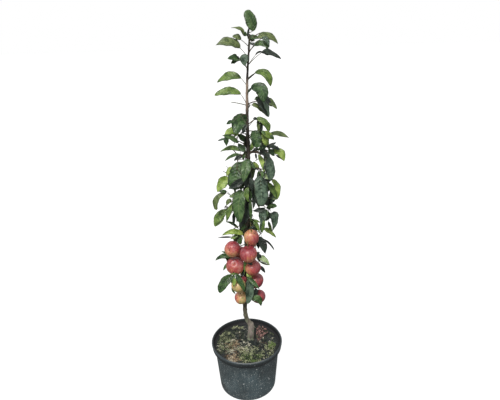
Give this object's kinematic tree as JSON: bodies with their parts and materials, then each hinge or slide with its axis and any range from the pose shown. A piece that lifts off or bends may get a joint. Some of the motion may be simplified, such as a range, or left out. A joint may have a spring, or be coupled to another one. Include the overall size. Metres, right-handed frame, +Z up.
{
  "type": "potted columnar apple tree",
  "caption": "Columnar dwarf apple tree on a grafted stem, with large leaves from short spurs, ripening fruit low down, and a round tapered nursery pot of mossy soil.",
  "frame": {"origin": "centre of the pot's flat underside", "axes": "+Z up along the tree; +X to the right seen from the front, which is -Y"},
  "size_m": [0.3093, 0.28, 1.41],
  "materials": {
    "pot": "dusty dark grey moulded plastic",
    "soil": null,
    "bark": "young olive-brown bark, grey and rough on the rooted stub",
    "foliage": "dark to yellow-green leaves with a soft sheen",
    "fruit": "smooth pinkish red skin over yellow"
  },
  "bodies": {
    "root": {"pot": "pot", "soil": "soil", "trunk": "bark", "bough_back_upper": "bark", "bough_front_fruiting": "bark", "bough_left_lower": "bark", "bough_left_middle": "bark", "bough_left_upper": "bark", "bough_right_lower": "bark", "bough_right_middle": "bark", "bough_right_upper": "bark", "foliage_back_1": "foliage", "foliage_back_2": "foliage", "foliage_back_3": "foliage", "foliage_back_4": "foliage", "foliage_back_5": "foliage", "foliage_fruit_front_1": "foliage", "foliage_fruit_left_1": "foliage", "foliage_fruit_left_2": "foliage", "foliage_fruit_right_1": "foliage", "foliage_fruit_right_2": "foliage", "foliage_leader_tip": "foliage", "foliage_lower_left_1": "foliage", "foliage_lower_left_2": "foliage", "foliage_lower_right_1": "foliage", "foliage_lower_right_2": "foliage", "foliage_middle_front_1": "foliage", "foliage_middle_front_2": "foliage", "foliage_middle_left_1": "foliage", "foliage_middle_left_2": "foliage", "foliage_middle_left_3": "foliage", "foliage_middle_right_1": "foliage", "foliage_middle_right_2": "foliage", "foliage_top_left_1": "foliage", "foliage_top_left_2": "foliage", "foliage_top_left_3": "foliage", "foliage_top_left_4": "foliage", "foliage_top_right_1": "foliage", "foliage_top_right_2": "foliage", "foliage_top_right_3": "foliage", "foliage_top_right_4": "foliage", "foliage_top_right_5": "foliage", "foliage_top_right_6": "foliage", "foliage_upper_left_1": "foliage", "foliage_upper_left_2": "foliage", "foliage_upper_left_3": "foliage", "foliage_upper_right_1": "foliage", "foliage_upper_right_2": "foliage", "foliage_upper_right_3": "foliage", "foliage_upper_right_4": "foliage", "foliage_upper_right_5": "foliage", "foliage_young_leaf": "foliage", "fruit_cluster_back": "fruit", "fruit_cluster_front": "fruit", "fruit_cluster_left": "fruit", "fruit_cluster_low_left": "fruit", "fruit_cluster_low_right": "fruit", "fruit_cluster_right": "fruit"}
  },
  "joints": []
}
